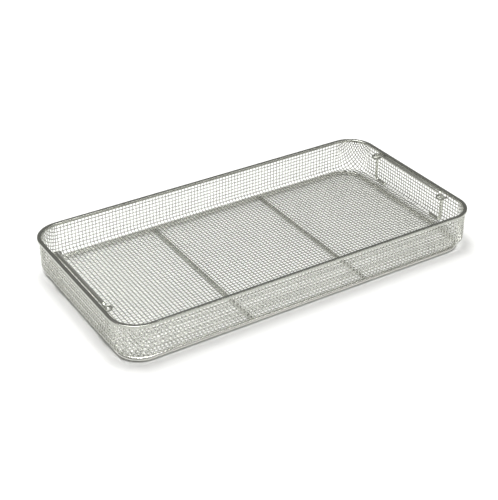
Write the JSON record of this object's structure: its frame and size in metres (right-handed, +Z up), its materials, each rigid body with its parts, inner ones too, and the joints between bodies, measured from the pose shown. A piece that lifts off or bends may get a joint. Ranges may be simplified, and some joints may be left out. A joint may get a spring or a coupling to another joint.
{
  "type": "instrument tray",
  "caption": "Shallow rectangular tray of woven stainless wire mesh with a folded rim, a wire base frame and a lift-up wire handle at each short end.",
  "frame": {"origin": "on the surface that the tray stands on, under the centre of the tray", "axes": "+X along the long side towards the right-hand handle, +Y across the tray towards the rear, +Z up"},
  "size_m": [0.48, 0.248, 0.0492],
  "materials": {
    "woven_cloth": "woven stainless wire cloth, electropolished, soft sheen",
    "rim_strip": "stainless strip, folded and polished",
    "frame_wire": "drawn round stainless wire, electropolished",
    "handle_wire": "drawn round stainless wire, electropolished",
    "eyelet_wire": "drawn round stainless wire, bent and spot welded"
  },
  "bodies": {
    "tray": {"mesh_basket": "woven_cloth", "rim_channel": "rim_strip", "base_ring": "frame_wire", "cross_bar_left": "frame_wire", "cross_bar_right": "frame_wire", "eyelet_left_front": "eyelet_wire", "eyelet_left_rear": "eyelet_wire", "eyelet_right_front": "eyelet_wire", "eyelet_right_rear": "eyelet_wire"},
    "left_handle": {"handle_left": "handle_wire"},
    "right_handle": {"handle_right": "handle_wire"}
  },
  "joints": [
    {"name": "handle_left_lift", "type": "slide", "parent": "tray", "child": "left_handle", "axis": [0, 0, 1], "range_m": [0, 0.029]},
    {"name": "handle_right_lift", "type": "slide", "parent": "tray", "child": "right_handle", "axis": [0, 0, 1], "range_m": [0, 0.029]}
  ]
}
